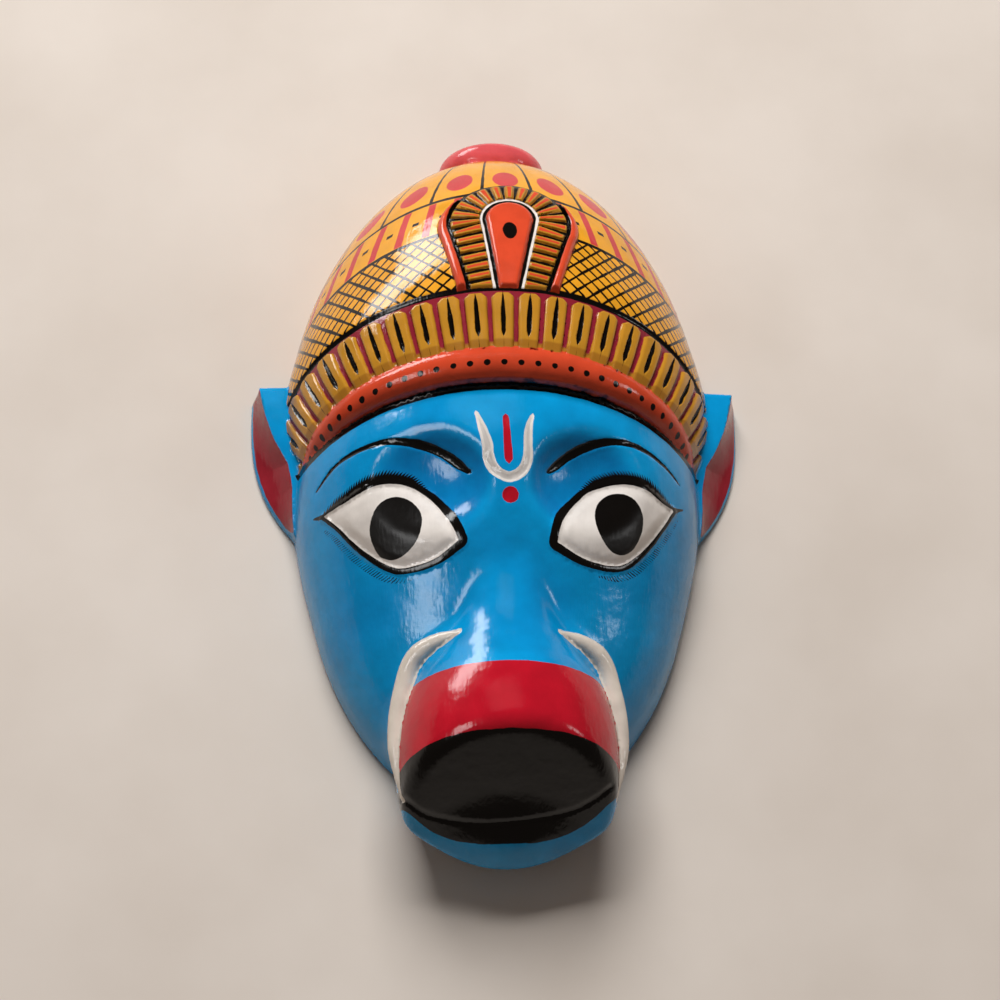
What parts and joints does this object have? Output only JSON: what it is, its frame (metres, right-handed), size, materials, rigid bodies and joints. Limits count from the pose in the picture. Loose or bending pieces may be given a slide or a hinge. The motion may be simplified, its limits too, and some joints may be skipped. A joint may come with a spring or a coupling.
{
  "type": "wooden boar deity mask",
  "caption": "Carved and painted wooden boar-faced deity mask with a domed crown, side ears, tusks and a hollow back.",
  "frame": {"origin": "middle of the mask's footprint, on the floor that its flat rim lies on", "axes": "+Z out of the face, +Y towards the crown, +X to the viewer's right"},
  "size_m": [0.216, 0.3364, 0.0886],
  "materials": {
    "painted_wood": "hand-brushed gloss paint over carved wood: blue face, yellow and orange crown"
  },
  "bodies": {
    "root": {"mask": "painted_wood"}
  },
  "joints": []
}
